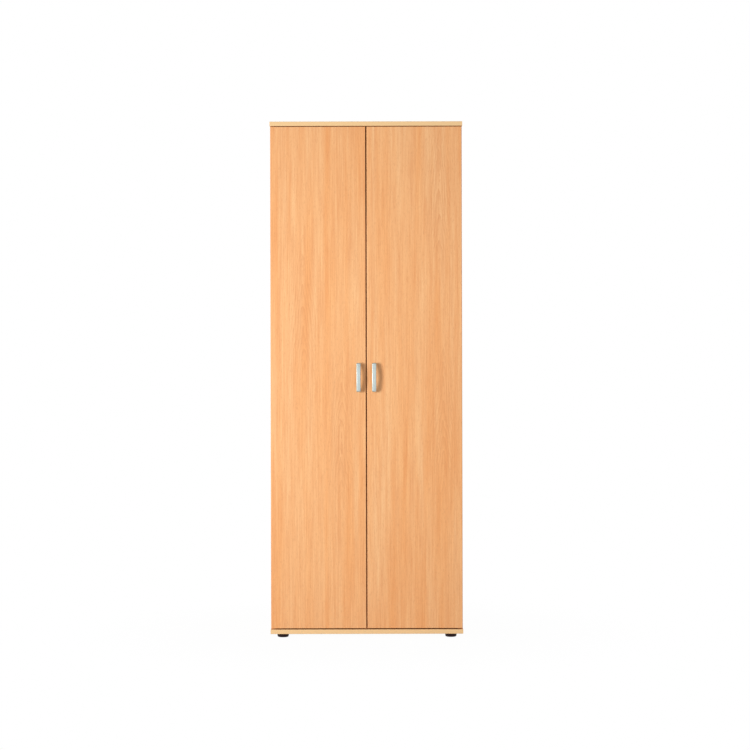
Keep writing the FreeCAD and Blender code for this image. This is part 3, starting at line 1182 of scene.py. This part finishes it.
@dataclass
class HingeSet:
    """Three concealed hinges of one door and their screws, placed by the boxes of their nodes."""

    finishes: Finishes
    hand: Hand
    bar_half: float = 30 * MM
    bar_offset: float = 6 * MM
    cup_spread: float = 24 * MM
    plate_spread: float = 16 * MM
    plate_base: float = 2.5 * MM
    plate_line: float = 39.5 * MM
    arm_lines: Pair = (33 * MM, 48 * MM)
    cup_head: ScrewHead = ScrewHead(height=1.2)
    plate_head: ScrewHead = ScrewHead()
    arm_head: ScrewHead = ScrewHead(radius=3.3, height=0.9, recess=0.6)

    def levels(self) -> list[float]:
        """Heights of the hinges: the first, the one half way, and the last.

        Returns:
            Three heights.
        """
        low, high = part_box(self.hand.word + "_hinge_cups")
        first, last = low.z + self.bar_half, high.z - self.bar_half
        return [first, (first + last) / 2, last]

    def inner_face(self, node: str) -> float:
        """X of the face of a node that looks to the middle of the cupboard."""
        low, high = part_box(self.hand.word + "_" + node)
        return high.x if self.hand is Hand.LEFT else low.x

    def dress(self) -> None:
        """Covers the four nodes of the hinges."""
        for part in ("hinge_cups", "hinge_pins", "hinge_arms", "hinge_plates"):
            apply_finish(self.hand.word + "_" + part, self.finishes.nickel)

    def screws(self, name: str, heads: Surface, body: Body) -> None:
        """One piece made of several screw heads."""
        heads.piece(self.hand.word + "_" + name, body, self.finishes.nickel, "hinge_steel")

    def build(self) -> None:
        """Dresses the hinges and sets the screws of cups, plates and arms."""
        self.dress()
        sign = float(self.hand.value)
        inward = (-sign, 0.0, 0.0)
        levels = self.levels()
        low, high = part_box(self.hand.word + "_hinge_cups")
        door_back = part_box(self.hand.word + "_door")[1].y
        bar = (low.x + high.x) / 2 - sign * self.bar_offset
        cups = [(bar, high.y, z + way * self.cup_spread) for z in levels for way in (-1, 1)]
        self.screws("cup_screws", self.cup_head.row(cups, BACKWARDS), Body.leaf(self.hand))
        base = self.inner_face("side_panel") - sign * self.plate_base
        plates = [(base, door_back + self.plate_line, z + way * self.plate_spread)
                  for z in levels for way in (-1, 1)]
        self.screws("plate_screws", self.plate_head.row(plates, inward), Body.CARCASS)
        web = self.inner_face("hinge_arms")
        arms = [(web, door_back + line, z) for z in levels for line in self.arm_lines]
        self.screws("arm_screws", self.arm_head.row(arms, inward), Body.CARCASS)


@dataclass(frozen=True)
class DoorCut:
    """Cut of the decor on one door: its seed, and its hearts' places across and up."""

    seed: float
    hearts: Hearts


DOOR_CUTS: dict[Hand, DoorCut] = {
    Hand.LEFT: DoorCut(3.0, ((-0.225, 1.18), (-0.09, 0.74))),
    Hand.RIGHT: DoorCut(31.0, ((0.262, 1.60), (0.275, 0.78))),
}


@dataclass
class DoorLeaf:
    """One door with its pads, handle and hinges."""

    finishes: Finishes
    hand: Hand
    band_depth: float = 0.5 * MM
    # Edge band colour, darker and redder than the face: a real band that also paints shade into the
    # gaps around the doors.
    edge_band_and_gap_shade: Colour = paint(206, 134, 84)

    def dress(self) -> None:
        """Covers the door, with a thin band round its four edges, darkened to paint shade into the
        gaps, and its pads.
        """
        word = self.hand.word
        low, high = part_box(word + "_door")
        cut = DOOR_CUTS[self.hand]
        first, second = ((across, low.y, up) for across, up in cut.hearts)
        band = EdgeBand((low.x, -FAR, low.z), (high.x, FAR, high.z), self.band_depth,
                        colour=self.edge_band_and_gap_shade)
        decor = BeechDecor("beech_" + word + "_door", Grain.UPRIGHT, cut.seed, (first, second),
                           band)
        apply_finish(word + "_door", decor.material())
        apply_finish(word + "_door_bumpers", self.finishes.felt)

    def build(self) -> None:
        """Dresses the door and builds what it carries."""
        self.dress()
        BowHandle(self.finishes, self.hand).build()
        HingeSet(self.finishes, self.hand).build()


# Studio


@dataclass
class Studio:
    """Pale floor, white surroundings, one soft lamp and the camera at the photograph's view.

    The floor's radius and thickness are in millimetres, the sensor too. Column and row are pixels.
    """

    pixels: int = 750
    scale: float = 3.580 * MM
    centre_column: float = 366.4
    floor_row: float = 638.1
    distance: float = 7.0
    roll: float = math.radians(-0.13)
    sensor: float = 36.0
    ambient: float = 0.585
    ambient_tint: Colour = (1.0, 0.95, 0.935, 1.0)
    floor_shade: Colour = (0.72, 0.72, 0.72, 1.0)
    floor_white: float = 0.98
    floor_fade: Pair = (0.4, 1.2)
    floor_radius: float = 9000.0
    floor_thickness: float = 2.0
    floor_sides: int = 64
    key_power: float = 31.2
    key_tint: Point = (0.97, 1.0, 1.0)
    key_width: float = 0.95
    key_height: float = 1.3
    key_spread: float = math.radians(90)
    key_aim: Point = (0.05, -0.19, 1.07)
    key_from_aim: Point = (-2.75, -2.90, 0.0)

    def seen(self, graph: Graph) -> Socket:
        """1 for rays that show the background: from the camera, by reflection or through glass.

        Args:
            graph: Graph that asks.

        Returns:
            1 or 0.
        """
        path = graph.add("ShaderNodeLightPath").outputs
        bright = graph.math("MAXIMUM", path["Is Camera Ray"], path["Is Glossy Ray"])
        return graph.math("MAXIMUM", bright, path["Is Transmission Ray"])

    def world(self) -> None:
        """White surroundings to look at, a plain even light to stand in."""
        world = bpy.data.worlds.new("studio")
        world.use_nodes = True
        bpy.context.scene.world = world
        graph = Graph(world.node_tree)
        graph.tree.nodes.clear()
        feeds = {"Color": self.ambient_tint, "Strength": self.ambient}
        light = graph.add("ShaderNodeBackground", feeds).outputs[0]
        white = graph.add("ShaderNodeBackground", {"Color": WHITE, "Strength": 1.0}).outputs[0]
        mixed = graph.add("ShaderNodeMixShader", {0: self.seen(graph), 1: light, 2: white})
        graph.add("ShaderNodeOutputWorld", {"Surface": mixed.outputs[0]})

    def floor(self) -> None:
        """Round pale floor with a faint shadow near the cupboard, fading to white away from it."""
        material = bpy.data.materials.new("studio_floor")
        material.use_nodes = True
        graph = Graph(material.node_tree)
        graph.tree.nodes.clear()
        place = graph.add("ShaderNodeTexCoord").outputs["Object"]
        share = graph.rise(graph.length(place), *self.floor_fade, self.floor_white, 1.0)
        white = graph.add("ShaderNodeEmission", {"Color": WHITE, "Strength": 1.0}).outputs[0]
        matt = graph.add("ShaderNodeBsdfDiffuse", {"Color": self.floor_shade}).outputs[0]
        shown = graph.math("MULTIPLY", self.seen(graph), share)
        mixed = graph.add("ShaderNodeMixShader", {0: shown, 1: matt, 2: white})
        graph.add("ShaderNodeOutputMaterial", {"Surface": mixed.outputs[0]})
        radius, bottom = self.floor_radius, -self.floor_thickness
        disc = turned([(AXIS, bottom), (radius, bottom), (radius, 0.0), (AXIS, 0.0)],
                      self.floor_sides)
        disc.linked("studio_floor", material)

    def key_lamp(self) -> None:
        """Tall soft lamp from the left, at the height of the handles."""
        data = bpy.data.lights.new("key_lamp", "AREA")
        data.shape = "RECTANGLE"
        data.size = self.key_width
        data.size_y = self.key_height
        data.spread = self.key_spread
        data.energy = self.key_power
        data.color = self.key_tint
        lamp = bpy.data.objects.new("key_lamp", data)
        aim = Vector(self.key_aim)
        lamp.location = aim + Vector(self.key_from_aim)
        lamp.rotation_euler = (aim - lamp.location).to_track_quat("-Z", "Y").to_euler()
        bpy.context.scene.collection.objects.link(lamp)

    def camera(self) -> None:
        """Long lens square to the doors, placed so that the cupboard falls where it is pictured."""
        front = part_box("left_door")[0].y
        data = bpy.data.cameras.new("camera")
        data.sensor_width = self.sensor
        data.lens = self.sensor * self.distance / (self.pixels * self.scale)
        made = bpy.data.objects.new("camera", data)
        right = (self.pixels / 2 - self.centre_column) * self.scale
        up = (self.floor_row - self.pixels / 2) * self.scale
        turn = Matrix.Rotation(math.pi / 2, 4, "X") @ Matrix.Rotation(self.roll, 4, "Z")
        made.matrix_world = Matrix.Translation((right, front - self.distance, up)) @ turn
        bpy.context.scene.collection.objects.link(made)
        bpy.context.scene.camera = made

    def build(self) -> None:
        """Sets up the studio."""
        bpy.context.scene.view_settings.view_transform = "Standard"
        self.world()
        self.floor()
        self.key_lamp()
        self.camera()


def main() -> None:
    """Builds the cupboard piece by piece and sets up the studio."""
    logging.basicConfig(level=logging.INFO, format="%(name)s: %(message)s")
    finishes = Finishes()
    Carcass(finishes).build()
    Back(finishes).build()
    Feet(finishes).build()
    for hand in Hand:
        DoorLeaf(finishes, hand).build()
    Studio().build()


if __name__ == "__main__":
    main()
